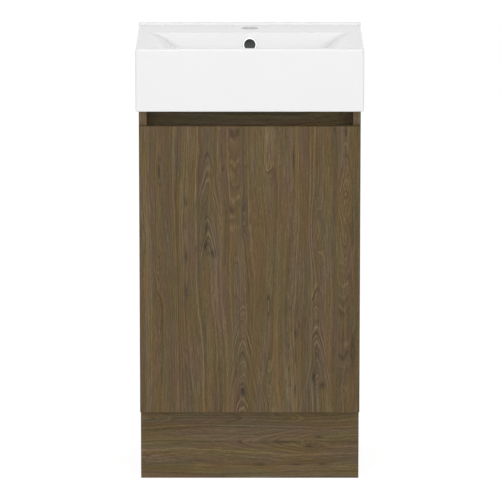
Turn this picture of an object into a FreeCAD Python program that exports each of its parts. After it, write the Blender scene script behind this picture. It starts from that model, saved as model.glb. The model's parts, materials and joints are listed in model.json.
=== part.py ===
"""Mini vanity unit: a ceramic basin on a walnut-effect cabinet with one door and a set-back plinth.

Millimetres. +Z is up, the origin is on the floor under the middle of the unit, and the front faces -Y.
"""
import FreeCAD
import Part
import math
import os
from FreeCAD import Vector

near = 0.01  # two places closer than this are the same
overcut = 1.0  # how far a cutting shape runs past the face it cuts

# Basin, outside
basin_width = 460.0
basin_depth = 330.0
rim_height = 897.5  # floor to the flat rim
apron_height = 127.5  # rim to the bottom edge
basin_wall = 11.0
deck_thickness = 14.0
upright_radius = 5.0
rim_radius = 5.0
foot_radius = 2.0
foot_height = 12.0
foot_width = 26.0
lip_height = 4.5
lip_thickness = 9.0
lip_radius = 2.0
lip_foot_radius = 1.8
apron_thickness = 17.5

# Basin, bowl
bowl_setback = 110.0  # wall to the bowl's back edge
front_rim = 13.0
back_shoulder = 42.5  # basin side to the line where the bowl's side wall meets the rim, at the back
front_shoulder = 67.0
bowl_side_round = 85.0  # how the rim rolls over into the side walls
bowl_edge_radius = 2.5  # and into the front and back walls
bowl_roll_steps = 5
bowl_front_corner = 25.0
bowl_back_corner = 10.0
bowl_depth = 90.0
floor_half = 85.0
floor_corner = 22.0
back_lean = 15.0  # degrees off upright
front_lean = 8.0
bowl_floor_radius = 25.0
bowl_floor_steps = 5

# Basin, holes and the overflow channel inside it
tap_hole_radius = 17.5
tap_setback = 55.0  # wall to the tap hole's centre
waste_hole_radius = 23.0
waste_nut_room = 11.0  # grip rail to the waste's back nut, for the spanner
waste_boss_radius = 38.0
dish_radius = 44.0
dish_fall = 3.0
overflow_radius = 13.0
overflow_drop = 25.0  # rim to the overflow hole's centre
channel_half = 12.0
channel_gap = 9.0
channel_wall = 5.0

# Overflow ring
ring_flange_radius = 15.0
ring_flange = 2.0
ring_edge_radius = 1.6
ring_bore_radius = 12.0
ring_length = 8.0
ring_clearance = 0.2

# Basin waste
waste_flange_radius = 31.5
waste_flange = 3.0
waste_thread_radius = 20.95
waste_tail_radius = 19.6
waste_thread_spare = 4.0  # thread left under the back nut
waste_bore_radius = 17.5
waste_tail = 66.0  # below the basin's boss
waste_seal = 2.0
flange_clearance = 1.0
lower_seal = 6.0
backnut_height = 11.0
backnut_radius = 33.0
backnut_notches = 6
notch_half = 4.5
thread_clearance = 0.15
overflow_slot_half = 6.0
plug_radius = 30.0
plug_crown = 5.0
plug_edge = 2.0
plug_stem_radius = 6.0
plug_stem = 44.0
plug_clearance = 0.05
hub_wall = 3.0
hub_height = 10.0
hub_drop = 22.0  # flange top to the hub's top
spoke_half = 2.0
spoke_count = 3

# Cabinet boards
board = 16.0
side_overhang = 6.0  # basin beyond the cabinet, each side
front_overhang = 30.0
plinth_height = 145.0
edge_radius = 0.8
grip_rail_height = 100.0
grip_rail_setback = 30.0
upper_rail_height = 100.0
lower_rail_height = 80.0
wall_hole_radius = 4.0
wall_hole_spacing = 280.0

# Shelf
shelf_height = 430.0
shelf_depth = 220.0
shelf_setback = 45.0  # carcass front to the shelf's front edge
shelf_clearance = 2.0  # at each end
pin_hole_radius = 2.5
pin_hole_depth = 9.0
pin_hole_pitch = 32.0
pin_hole_rows = 5
pin_inset = 40.0  # shelf edge to the pins
pin_reach = 9.0
pin_pad_half = 5.0
pin_pad = 1.5

# Knock-down fittings
cam_radius = 7.5
cam_height = 12.0
cam_hole_depth = 12.5
cam_clearance = 0.1
cam_inset = 34.0  # board end to the cam's centre
cam_edge = 60.0  # board edge to the cams of the bottom panel
cam_slot_half = 1.0
cam_slot_reach = 4.5
cam_slot_depth = 2.5
bolt_thread_radius = 3.5
bolt_thread = 11.0
bolt_shank_radius = 3.0
bolt_neck_radius = 2.2
bolt_neck = 6.0
bolt_head = 3.0
bolt_hole_radius = 3.8
dowel_radius = 4.0
dowel_length = 30.0
dowel_seat = 11.0  # into the side panel
dowel_end_gap = 0.5
dowel_offset = 32.0  # from the cam beside it, in the bottom panel
rail_dowel_offset = 21.0

# Plinth
plinth_side_inset = 1.0
plinth_setback = 15.5  # behind the carcass front
block_leg = 40.0
block_height = 120.0
block_screw_inset = 13.0
screw_radius = 2.0
screw_length = 50.0
screw_head_radius = 4.0
screw_head = 3.0

# Door
door_side_inset = 0.5
door_foot_gap = 1.0  # carcass bottom to the door's bottom edge
finger_gap = 32.0  # basin to the door's top edge
door_gap = 2.0
bumper_radius = 4.0
bumper_clearance = 0.2
bumper_inset = 20.0

# Concealed hinges: s runs from the door's hinge edge, t from its back face into the door
hinge_edge = 100.0  # door's top or bottom edge to a hinge's centre
cup_centre = 22.0
cup_hole_radius = 17.5
cup_hole_depth = 13.0
cup_clearance = 0.1
cup_wall = 1.4
cup_floor = 0.8
cup_flange = 1.2
cup_flange_radius = 19.0
ear_offset = 6.0
ear_half_width = 8.0
ear_half_length = 31.0
ear_radius = 6.0
cup_screw_half = 24.0
cup_screw_radius = 1.75
cup_screw_length = 12.0
cup_screw_head_radius = 3.4
cup_screw_head = 1.4
cup_screw_head_rise = 0.4
outer_cup_pin_s = 10.56
outer_cup_pin_t = 3.0
inner_cup_pin_s = 8.61
inner_cup_pin_t = 6.94
outer_arm_pin_s = 34.0
outer_arm_pin_t = 1.3
inner_arm_pin_s = 33.75
inner_arm_pin_t = 7.8
hinge_pin_radius = 0.9
pin_clearance = 0.05
inner_link_half = 3.2
inner_link_width = 1.6
inner_eye = 2.1
outer_link_gap = 0.4  # between one link and the next, and between a link and the arm
link_cheek = 1.4
outer_link_width = 1.9
link_web = 1.2
link_web_start = 4.0
link_web_end = 12.0
open_slot_half = 1.45  # play of the arm's pin along the inner link's slotted eye
open_slot_rise = 0.75
open_eye_wall = 1.2
arm_cheek = 1.4
arm_tip_half = 2.6
arm_tip_reach = 2.3
arm_tip_radius = 2.0
arm_web = 1.4
arm_length = 58.0  # behind the carcass front
arm_height = 9.0
arm_fork = 6.0  # depth of the open fork behind the carcass front
arm_crank = 12.0
arm_lift = 3.0  # side panel to the arm's lower edge
plate_base = 2.0
plate_half_length = 23.0
plate_line = 37.0  # carcass front to the plate's screws
plate_half_width = 9.0
plate_radius = 6.0
plate_screw_half = 16.0
plate_screw_radius = 2.9
plate_screw_length = 12.0
plate_screw_head_radius = 4.6
plate_screw_head = 2.2
ridge_front = 20.0
ridge_clearance = 0.2
clamp_screw_line = 48.0
clamp_screw_radius = 2.4
clamp_screw_head_radius = 3.8
clamp_screw_head = 2.2
clamp_screw_length = 9.0

# Places that follow from the sizes above
back = basin_depth / 2
front = -back
basin_bottom = rim_height - apron_height
tap_y = back - tap_setback
bowl_back_half = basin_width / 2 - back_shoulder
bowl_front_half = basin_width / 2 - front_shoulder
bowl_floor = rim_height - bowl_depth
boss_bottom = bowl_floor - basin_wall - channel_gap - channel_wall
waste_seat_radius = waste_flange_radius + flange_clearance
flange_top = bowl_floor - dish_fall
seat_level = flange_top - waste_flange - waste_seal
backnut_top = boss_bottom - lower_seal
thread_bottom = backnut_top - backnut_height - waste_thread_spare
tail_bottom = boss_bottom - waste_tail
carcass_front = front + front_overhang
side_outer = basin_width / 2 - side_overhang
side_inner = side_outer - board
floor_top = plinth_height + board
grip_front = carcass_front + grip_rail_setback
waste_y = grip_front + board + waste_nut_room + backnut_radius
door_back = carcass_front - door_gap
door_front = door_back - board
door_left = door_side_inset - side_outer
door_bottom = plinth_height + door_foot_gap
door_top = basin_bottom - finger_gap
hinge_heights = {"lower": door_bottom + hinge_edge, "upper": door_top - hinge_edge}
cup_inner = cup_hole_radius - cup_clearance - cup_wall
outer_link_low = inner_link_half + outer_link_gap
outer_link_half = outer_link_low + link_cheek
arm_low = outer_link_half + outer_link_gap
arm_half = arm_low + arm_cheek
arm_base_s = board + arm_lift - door_side_inset
shelf_front = carcass_front + shelf_setback
shelf_bottom = shelf_height + pin_hole_radius
pin_lines = (shelf_front + pin_inset, shelf_front + shelf_depth - pin_inset)
plinth_front_y = carcass_front + plinth_setback
plinth_half = side_outer - plinth_side_inset
plinth_inner = plinth_half - board
X = Vector(1, 0, 0)
Y = Vector(0, 1, 0)
Z = Vector(0, 0, 1)


def box(x0, x1, y0, y1, z0, z1):
    return Part.makeBox(x1 - x0, y1 - y0, z1 - z0, Vector(x0, y0, z0))


def rod(radius, length, base, axis):
    return Part.makeCylinder(radius, length, Vector(*base), axis)


def rounded_wire(corners):
    """A closed wire through (point, radius) corners; each corner with a radius becomes a tangent arc."""
    bends = []
    for i, (point, radius) in enumerate(corners):
        to_last = (corners[i - 1][0] - point).normalize()
        to_next = (corners[(i + 1) % len(corners)][0] - point).normalize()
        if not radius:
            bends.append((point, None, point))
            continue
        half = to_last.getAngle(to_next) / 2
        reach = radius / math.tan(half)
        middle = point + (to_last + to_next).normalize() * (radius / math.sin(half) - radius)
        bends.append((point + to_last * reach, middle, point + to_next * reach))
    edges = []
    for i, (start, middle, end) in enumerate(bends):
        if middle:
            edges.append(Part.Arc(start, middle, end).toShape())
        edges.append(Part.LineSegment(end, bends[(i + 1) % len(bends)][0]).toShape())
    return Part.Wire(edges)


def prism(corners, along):
    """A solid of the outline's rounded wire, drawn out along a vector."""
    return Part.Face(rounded_wire(corners)).extrude(along)


def turned(profile, centre):
    """A solid of revolution about an upright axis; the profile is a list of (radius, height) points."""
    points = [Vector(radius, 0, height) for radius, height in profile]
    face = Part.Face(Part.makePolygon(points + points[:1]))
    solid = face.revolve(Vector(0, 0, 0), Z, 360)
    solid.translate(Vector(*centre))
    return solid


def edges_where(shape, test):
    return [edge for edge in shape.Edges if test(edge.BoundBox)]


def mirrored(shape):
    return shape.mirror(Vector(0, 0, 0), X)


def save(node, shapes):
    """Write one node, either one solid or a group of separate solids."""
    solids = [solid for shape in shapes for solid in shape.Solids]
    whole = solids[0] if len(solids) == 1 else Part.makeCompound(solids)
    whole.exportStep(os.path.join("parts", node + ".step"))


# The basin

def wall_run(height, slope, radius):
    """How far a bowl wall stands out from its foot at a height above the floor, rounded into the floor."""
    rounded = radius * (1 - math.cos(slope))
    if height >= rounded:
        return height / math.tan(slope)
    return math.sqrt(radius ** 2 - (radius - height) ** 2) - radius * math.tan(slope / 2)


def rim_roll(depth, slope, radius):
    """How far a bowl wall stands out past its straight line, at a depth where the rim still rolls over."""
    if depth >= radius * (1 - math.cos(slope)):
        return 0
    turn = math.acos(1 - depth / radius)
    return radius * (math.tan(slope / 2) - math.sin(turn)) + depth / math.tan(slope)


def bowl_section(height, grow):
    """The bowl's outline at a height above its floor; the shell's outside is moved outwards by grow."""
    radius = bowl_floor_radius + grow
    depth = max(0, bowl_depth + grow - height)

    def wall(slope, roll_radius):
        run = grow * math.tan(slope / 2) + wall_run(bowl_depth + grow - depth, slope, radius)
        return run if grow else run + rim_roll(depth, slope, roll_radius)

    half_back = floor_half + wall(math.atan2(bowl_depth, bowl_back_half - floor_half), bowl_side_round)
    half_front = floor_half + wall(math.atan2(bowl_depth, bowl_front_half - floor_half), bowl_side_round)
    y_back = back_wall_y(bowl_depth, 0) + wall(math.radians(90 - back_lean), bowl_edge_radius)
    front_foot = front + front_rim + bowl_depth * math.tan(math.radians(front_lean))
    y_front = front_foot - wall(math.radians(90 - front_lean), bowl_edge_radius)
    climb = max(0, height - grow) / bowl_depth
    front_corner = floor_corner + climb * (bowl_front_corner - floor_corner) + grow
    back_corner = floor_corner + climb * (bowl_back_corner - floor_corner) + grow
    level = bowl_floor - grow + height
    return rounded_wire([
        (Vector(-half_back, y_back, level), back_corner),
        (Vector(half_back, y_back, level), back_corner),
        (Vector(half_front, y_front, level), front_corner),
        (Vector(-half_front, y_front, level), front_corner),
    ])


def back_wall_y(depth, grow):
    """Where the bowl's back wall is at a depth under the rim, moved outwards by grow."""
    lean = math.radians(back_lean)
    return back - bowl_setback - depth * math.tan(lean) + grow / math.cos(lean)


def bowl_solid(grow):
    """The bowl's inside as a solid, from its floor up past the lip."""
    steepest = 90 - front_lean
    turns = [steepest * i / bowl_floor_steps for i in range(bowl_floor_steps + 1)]
    heights = [(bowl_floor_radius + grow) * (1 - math.cos(math.radians(turn))) for turn in turns]
    if not grow:
        side_slope = math.atan2(bowl_depth, bowl_front_half - floor_half)
        parts = [i / bowl_roll_steps for i in range(bowl_roll_steps + 1)]
        edge = [bowl_edge_radius * (1 - math.cos(math.radians(steepest) * part)) for part in parts]
        side = [bowl_side_round * (1 - math.cos(side_slope * part)) for part in parts]
        rolled = edge + [depth for depth in side if depth > edge[-1] + near]
        heights += [bowl_depth - depth for depth in reversed(rolled)]
    heights.append(bowl_depth + grow + lip_height + overcut)
    return Part.makeLoft([bowl_section(height, grow) for height in heights], True, True)


def at_rim(bounds):
    return abs(bounds.ZMin - rim_height) + bounds.ZLength < near


def basin_block():
    """The outside of the basin, with its lip along the wall."""
    half = basin_width / 2
    block = box(-half, half, front, back, basin_bottom, rim_height)
    lip = box(-half, half, back - lip_thickness, back, rim_height, rim_height + lip_height)
    block = block.fuse(lip).removeSplitter()
    lip_foot = edges_where(block, lambda b: at_rim(b) and b.YMin > 0 and b.YLength < near)
    block = block.makeFillet(lip_foot_radius, lip_foot)
    upright = edges_where(block, lambda b: b.XLength + b.YLength < near and b.YMax < 0)
    block = block.makeFillet(upright_radius, upright)
    foot = edges_where(block, lambda b: b.ZMax < basin_bottom + near and b.YMax < back - near)
    block = block.makeFillet(foot_radius, foot)
    rim = edges_where(block, lambda b: at_rim(b) and b.YMin < 0)
    block = block.makeFillet(rim_radius, rim)
    lip_top = edges_where(block, lambda b: b.ZMin > rim_height + lip_height - near and b.YMax < back - near)
    return block.makeFillet(lip_radius, lip_top)


def channel(depth_top, inner, outer, half):
    """The overflow's way down: a band between two distances outside the bowl's back wall and floor."""
    outline = [
        (back_wall_y(depth_top, inner), rim_height - depth_top),
        (back_wall_y(depth_top, outer), rim_height - depth_top),
        (back_wall_y(bowl_depth + outer, outer), bowl_floor - outer),
        (waste_y, bowl_floor - outer),
        (waste_y, bowl_floor - inner),
        (back_wall_y(bowl_depth + inner, inner), bowl_floor - inner),
    ]
    return prism([(Vector(-half, y, z), 0) for y, z in outline], X * (2 * half))


def overflow_axis():
    """Centre of the overflow hole on the back wall, and the direction out of the bowl."""
    lean = math.radians(back_lean)
    centre = Vector(0, back_wall_y(overflow_drop, 0), rim_height - overflow_drop)
    return centre, Vector(0, math.cos(lean), -math.sin(lean))


def basin_hollow():
    """The open space inside the casting, round the bowl, with the in-turned foot left standing."""
    half = basin_width / 2
    upper = box(basin_wall - half, half - basin_wall, front + apron_thickness, back - basin_wall,
                basin_bottom + foot_height, rim_height - deck_thickness)
    mouth = box(foot_width - half, half - foot_width, front + foot_width, back - foot_width,
                basin_bottom - overcut, basin_bottom + foot_height)
    bowl_shell = bowl_solid(basin_wall)
    boss = rod(waste_boss_radius, bowl_depth, (0, waste_y, boss_bottom), Z)
    channel_outer = basin_wall + channel_gap + channel_wall
    duct = channel(overflow_drop - overflow_radius - channel_wall, 0, channel_outer,
                   channel_half + channel_wall)
    return upper.fuse(mouth).cut([bowl_shell, boss, duct])


def basin():
    body = basin_block().cut(bowl_solid(0))
    hole_axis, outward = overflow_axis()
    overflow = Part.makeCylinder(overflow_radius, 2 * basin_wall,
                                 hole_axis - outward * (basin_wall / 2), outward)
    duct = channel(overflow_drop - overflow_radius, basin_wall, basin_wall + channel_gap, channel_half)
    tap_hole = rod(tap_hole_radius, 2 * deck_thickness, (0, tap_y, rim_height - deck_thickness - overcut), Z)
    dish = turned([
        (0, 0),
        (waste_seat_radius, 0),
        (dish_radius, dish_fall),
        (dish_radius, dish_fall + overcut),
        (0, dish_fall + overcut),
    ], (0, waste_y, flange_top))
    seat = rod(waste_seat_radius, waste_flange + waste_seal, (0, waste_y, seat_level), Z)
    waste_hole = rod(waste_hole_radius, bowl_depth, (0, waste_y, boss_bottom - overcut), Z)
    return body.cut([basin_hollow(), duct, overflow, tap_hole, dish, seat, waste_hole]).removeSplitter()


def overflow_ring():
    """A chromed ring pushed into the overflow hole, its flange against the back wall."""
    hole_axis, outward = overflow_axis()
    flange = Part.makeCylinder(ring_flange_radius, ring_flange, hole_axis - outward * ring_flange, outward)
    rim = edges_where(flange, lambda b: b.YMax < hole_axis.y + ring_flange_radius / 4)
    flange = flange.makeFillet(ring_edge_radius, [edge for edge in rim if edge.Closed][:1])
    sleeve = Part.makeCylinder(overflow_radius - ring_clearance, ring_length, hole_axis, outward)
    bore = Part.makeCylinder(ring_bore_radius, 2 * ring_length,
                             hole_axis - outward * (ring_length / 2), outward)
    return flange.fuse(sleeve).cut(bore).removeSplitter()


# The basin waste, hung by its flange in the bowl's dish

def waste_body():
    """Flanged tube with an overflow slot each side and a spoked hub that guides the plug's stem."""
    tube = turned([
        (waste_bore_radius, tail_bottom),
        (waste_tail_radius, tail_bottom),
        (waste_tail_radius, thread_bottom),
        (waste_thread_radius, thread_bottom),
        (waste_thread_radius, flange_top - waste_flange),
        (waste_flange_radius, flange_top - waste_flange),
        (waste_flange_radius, flange_top - waste_flange / 2),
        (waste_flange_radius - waste_flange / 2, flange_top),
        (waste_bore_radius + waste_flange / 2, flange_top),
        (waste_bore_radius, flange_top - waste_flange / 2),
    ], (0, waste_y, 0))
    slot_middle = bowl_floor - basin_wall - channel_gap / 2
    slot = box(-overflow_slot_half, overflow_slot_half,
               waste_y - waste_hole_radius, waste_y + waste_hole_radius,
               slot_middle - channel_gap / 2, slot_middle + channel_gap / 2)
    tube = tube.cut(slot)
    hub_top = flange_top - hub_drop
    hub_bore = plug_stem_radius + plug_clearance
    hub = rod(hub_bore + hub_wall, hub_height, (0, waste_y, hub_top - hub_height), Z)
    spokes = []
    for i in range(spoke_count):
        spoke = box(0, waste_bore_radius + overcut, -spoke_half, spoke_half, hub_top - hub_height, hub_top)
        spoke.rotate(Vector(0, 0, 0), Z, 360 / spoke_count * i)
        spoke.translate(Vector(0, waste_y, 0))
        spokes.append(spoke)
    hole = rod(hub_bore, 2 * hub_height, (0, waste_y, hub_top - hub_height - overcut), Z)
    return tube.fuse([hub] + spokes).cut(hole).removeSplitter()


def waste_plug():
    """Domed plug on a stem, down on the flange; it lifts to open."""
    rise = plug_edge + plug_crown
    dome = (plug_radius ** 2 + plug_crown ** 2) / (2 * plug_crown)
    cap = rod(plug_radius, rise, (0, waste_y, flange_top), Z)
    cap = cap.common(Part.makeSphere(dome, Vector(0, waste_y, flange_top + rise - dome)))
    stem = rod(plug_stem_radius, plug_stem, (0, waste_y, flange_top - plug_stem), Z)
    return cap.fuse(stem).removeSplitter()


def washer(inner, outer, thickness, bottom):
    ring = rod(outer, thickness, (0, waste_y, bottom), Z)
    return ring.cut(rod(inner, thickness, (0, waste_y, bottom), Z))


def waste_backnut():
    """Ring nut under the lower seal, with notches for a spanner round its rim."""
    bottom = backnut_top - backnut_height
    nut = washer(waste_thread_radius + thread_clearance, backnut_radius, backnut_height, bottom)
    notches = []
    for i in range(backnut_notches):
        notch = rod(notch_half, backnut_height, (backnut_radius, 0, bottom), Z)
        notch.rotate(Vector(0, 0, 0), Z, 360 / backnut_notches * i)
        notch.translate(Vector(0, waste_y, 0))
        notches.append(notch)
    return nut.cut(notches)


# Knock-down fittings: one cam, bolt and set of dowels at each board end

def fitting_places():
    """Each left-hand board joint: the cam's centre, the way the cam hole opens, and its dowels' (y, z)."""
    joints = []
    mid = plinth_height + board / 2
    for y, step in ((carcass_front + cam_edge, dowel_offset), (back - cam_edge, -dowel_offset)):
        joints.append((Vector(-side_inner + cam_inset, y, mid), -Z, [(y + step, mid)]))
    rails = [
        (grip_front, basin_bottom - grip_rail_height / 2, Y),
        (back - board, basin_bottom - upper_rail_height / 2, -Y),
        (back - board, floor_top + lower_rail_height / 2, -Y),
    ]
    for rail_y, z, opens in rails:
        y = rail_y + board / 2
        joints.append((Vector(-side_inner + cam_inset, y, z), opens,
                       [(y, z - rail_dowel_offset), (y, z + rail_dowel_offset)]))
    return joints


def cam_cylinder(centre, opens, radius, height):
    """A disc that ends flush with the board face that the cam hole opens through."""
    return Part.makeCylinder(radius, height, centre + opens * (board / 2), opens * -1)


def cam_lock(centre, opens):
    cam = cam_cylinder(centre, opens, cam_radius - cam_clearance, cam_height)
    chamber = Part.makeCylinder(bolt_hole_radius, cam_radius + bolt_head, centre - X * cam_radius, X)
    slots = []
    for across in (X, opens.cross(X)):
        slot = Part.makeBox(2 * cam_slot_reach, 2 * cam_slot_half, cam_slot_depth)
        slot.translate(Vector(-cam_slot_reach, -cam_slot_half, -cam_slot_depth))
        slot.Placement = FreeCAD.Placement(centre + opens * (board / 2),
                                           FreeCAD.Rotation(across, opens.cross(across), opens)
                                           ).multiply(slot.Placement)
        slots.append(slot)
    return cam.cut([chamber] + slots)


def cam_bolt(centre):
    """Bolt screwed into the side panel, its head caught in the cam."""
    face_x = -side_inner
    head_end = centre.x + bolt_head / 2
    neck_start = head_end - bolt_head - bolt_neck
    steps = [
        (bolt_thread_radius, face_x - bolt_thread, face_x),
        (bolt_shank_radius, face_x, neck_start),
        (bolt_neck_radius, neck_start, head_end - bolt_head),
        (bolt_shank_radius, head_end - bolt_head, head_end),
    ]
    lengths = [rod(radius, x1 - x0, (x0, centre.y, centre.z), X) for radius, x0, x1 in steps]
    return lengths[0].fuse(lengths[1:])


def dowel(y, z, end_gap):
    """A dowel, or with an end gap the hole that it is glued into."""
    length = dowel_length + 2 * end_gap
    return rod(dowel_radius, length, (-side_inner - dowel_seat - end_gap, y, z), X)


def fitting_cuts():
    """The holes that the fittings need, in the left-hand joints and mirrored for the right."""
    cuts = []
    for centre, opens, dowels in fitting_places():
        cuts.append(cam_cylinder(centre, opens, cam_radius, cam_hole_depth))
        cuts.append(rod(bolt_thread_radius, bolt_thread, (-side_inner - bolt_thread, centre.y, centre.z), X))
        cuts.append(rod(bolt_hole_radius, cam_inset, (-side_inner, centre.y, centre.z), X))
        cuts.extend(dowel(y, z, dowel_end_gap) for y, z in dowels)
    return cuts + [mirrored(cut) for cut in cuts]


def both_sides(solids):
    return solids + [mirrored(solid) for solid in solids]


# Cabinet boards

def eased(shape, edges):
    """Edge-banded board: the listed edges take the small radius of their banding."""
    return shape.makeFillet(edge_radius, edges)


def left_side_panel():
    panel = box(-side_outer, -side_inner, carcass_front, back, plinth_height, basin_bottom)
    panel = eased(panel, edges_where(panel, lambda b: b.YMax < carcass_front + near and b.XLength < near))
    holes = []
    first = shelf_height - pin_hole_pitch * (pin_hole_rows // 2)
    for row in range(pin_hole_rows):
        for y in pin_lines:
            holes.append(rod(pin_hole_radius, pin_hole_depth,
                             (-side_inner - pin_hole_depth, y, first + row * pin_hole_pitch), X))
    return panel.cut(holes + fitting_cuts())


def with_hinge_holes(panel):
    holes = []
    for z in hinge_heights.values():
        for step in (-plate_screw_half, plate_screw_half):
            holes.append(rod(plate_screw_radius, plate_screw_length,
                             (-side_inner - plate_screw_length, carcass_front + plate_line, z + step), X))
    return panel.cut(holes)


def bottom_panel():
    panel = box(-side_inner, side_inner, carcass_front, back, plinth_height, floor_top)
    holes = [plinth_screw(x, y) for x, y in plinth_screw_places()]
    return panel.cut(fitting_cuts() + holes)


def rail(y0, z0, height):
    """A level board between the side panels."""
    return box(-side_inner, side_inner, y0, y0 + board, z0, z0 + height)


def grip_rail():
    return rail(grip_front, basin_bottom - grip_rail_height, grip_rail_height).cut(fitting_cuts())


def upper_back_rail():
    body = rail(back - board, basin_bottom - upper_rail_height, upper_rail_height)
    level = basin_bottom - upper_rail_height / 2
    holes = [rod(wall_hole_radius, 2 * board, (x, back - board - overcut, level), Y)
             for x in (-wall_hole_spacing / 2, wall_hole_spacing / 2)]
    return body.cut(fitting_cuts() + holes)


def lower_back_rail():
    return rail(back - board, floor_top, lower_rail_height).cut(fitting_cuts())


def shelf():
    half = side_inner - shelf_clearance
    body = box(-half, half, shelf_front, shelf_front + shelf_depth, shelf_bottom, shelf_bottom + board)
    return eased(body, edges_where(body, lambda b: b.YMax < shelf_front + near and b.ZLength < near))


def shelf_pin(y):
    """Pin in a side panel's hole, with a flat pad that the shelf lies on."""
    pin = rod(pin_hole_radius, pin_hole_depth + pin_reach, (-side_inner - pin_hole_depth, y, shelf_height), X)
    pad = box(-side_inner, pin_reach - side_inner, y - pin_pad_half, y + pin_pad_half,
              shelf_bottom - pin_pad, shelf_bottom)
    return pin.fuse(pad).removeSplitter()


# Plinth

def plinth_front():
    body = box(-plinth_half, plinth_half, plinth_front_y, plinth_front_y + board, 0, plinth_height)
    return eased(body, edges_where(body, lambda b: b.YMax < plinth_front_y + near and b.XLength < near))


def plinth_left():
    return box(-plinth_half, -plinth_inner, plinth_front_y + board, back, 0, plinth_height)


def plinth_back():
    return box(-plinth_inner, plinth_inner, back - board, back, 0, plinth_height)


def corner_blocks():
    """Triangular blocks in the plinth's four corners, up under the cabinet."""
    blocks = []
    for y, way in ((plinth_front_y + board, 1), (back - board, -1)):
        low = plinth_height - block_height
        corners = [
            (Vector(-plinth_inner, y, low), 0),
            (Vector(block_leg - plinth_inner, y, low), 0),
            (Vector(-plinth_inner, y + way * block_leg, low), 0),
        ]
        blocks.append(prism(corners, Z * block_height))
    screws = [plinth_screw(x, y) for x, y in plinth_screw_places()]
    return [block.cut(screws) for block in both_sides(blocks)]


def plinth_screw_places():
    x = plinth_inner - block_screw_inset
    ys = (plinth_front_y + board + block_screw_inset, back - board - block_screw_inset)
    return [(side * x, y) for side in (-1, 1) for y in ys]


def plinth_screw(x, y):
    """Countersunk screw, flush with the cabinet's floor."""
    head = Part.makeCone(screw_radius, screw_head_radius, screw_head, Vector(x, y, floor_top - screw_head), Z)
    return rod(screw_radius, screw_length, (x, y, floor_top - screw_length), Z).fuse(head).removeSplitter()


# Door and its hinges

def hinge_point(s, t, z):
    return Vector(door_left + s, door_back - t, z)


def hinge_outline(points, z):
    """Corners (s, t, radius) in the hinge's own plane."""
    return [(hinge_point(s, t, z), radius) for s, t, radius in points]


def pin_at(s, t, low, high, radius):
    return Part.makeCylinder(radius, high - low, hinge_point(s, t, low), Z)


def door():
    slab = box(door_left, -door_left, door_front, door_back, door_bottom, door_top)
    slab = eased(slab, slab.Edges)
    holes = []
    for z in hinge_heights.values():
        holes.append(cup_cylinder(cup_hole_radius, 0, cup_hole_depth, z))
        holes.extend(cup_screw_shank(z + step) for step in (-cup_screw_half, cup_screw_half))
    return slab.cut(holes)


def cup_cylinder(radius, t0, t1, z):
    return Part.makeCylinder(radius, t1 - t0, hinge_point(cup_centre, t0, z), -Y)


def door_bumpers():
    """Two soft buttons on the back of the door's free edge."""
    x = side_outer - board / 2
    thickness = door_gap - bumper_clearance
    return [rod(bumper_radius, thickness, (x, door_back, z), Y)
            for z in (door_bottom + bumper_inset, door_top - bumper_inset)]


def hinge_cup(z):
    """Pressed cup with a screw flange; its mouth is notched on the hinge edge, where the links swing out."""
    outside = cup_cylinder(cup_hole_radius - cup_clearance, -cup_flange, cup_hole_depth - cup_clearance, z)
    ring = cup_cylinder(cup_flange_radius, -cup_flange, 0, z)
    ear_centre = cup_centre + ear_offset
    corners = []
    for s, step in ((-1, -1), (1, -1), (1, 1), (-1, 1)):
        corner = hinge_point(ear_centre + s * ear_half_width, 0, z + step * ear_half_length)
        corners.append((corner, ear_radius))
    ears = prism(corners, Y * cup_flange)
    inside = cup_cylinder(cup_inner, -2 * cup_flange, cup_hole_depth - cup_clearance - cup_floor, z)
    notch_half_width = outer_link_half + outer_link_gap
    notch = box(door_left, door_left + cup_centre - cup_inner + cup_wall + overcut,
                door_back - inner_cup_pin_t - inner_eye - pin_clearance, door_back + 2 * cup_flange,
                z - notch_half_width, z + notch_half_width)
    screws = [cup_screw(z + step) for step in (-cup_screw_half, cup_screw_half)]
    return outside.fuse([ring, ears]).cut([inside, notch] + cup_pins(z) + screws).removeSplitter()


def cup_chord(s):
    """Half length of a pin that reaches into the middle of the cup's wall at s."""
    middle = cup_inner + cup_wall / 2
    return math.sqrt(middle ** 2 - (s - cup_centre) ** 2)


def cup_pins(z):
    """One pin for the inner link, and a stub each side for the outer link's cheeks."""
    inner = cup_chord(inner_cup_pin_s)
    outer = cup_chord(outer_cup_pin_s)
    stub = inner_link_half + outer_link_gap / 2
    return [
        pin_at(inner_cup_pin_s, inner_cup_pin_t, z - inner, z + inner, hinge_pin_radius),
        pin_at(outer_cup_pin_s, outer_cup_pin_t, z + stub, z + outer, hinge_pin_radius),
        pin_at(outer_cup_pin_s, outer_cup_pin_t, z - outer, z - stub, hinge_pin_radius),
    ]


def arm_pins(z):
    return [pin_at(s, t, z - arm_half, z + arm_half, hinge_pin_radius)
            for s, t in ((outer_arm_pin_s, outer_arm_pin_t), (inner_arm_pin_s, inner_arm_pin_t))]


def cup_screw_shank(z):
    return Part.makeCylinder(cup_screw_radius, cup_screw_length,
                             hinge_point(cup_centre + ear_offset, 0, z), -Y)


def cup_screw(z):
    """Low-head screw, its head let into the flange."""
    top = cup_flange + cup_screw_head_rise
    head = Part.makeCylinder(cup_screw_head_radius, cup_screw_head,
                             hinge_point(cup_centre + ear_offset, -top, z), -Y)
    neck = Part.makeCylinder(cup_screw_radius, top, hinge_point(cup_centre + ear_offset, -top, z), -Y)
    return head.fuse([neck, cup_screw_shank(z)]).removeSplitter()


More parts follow.
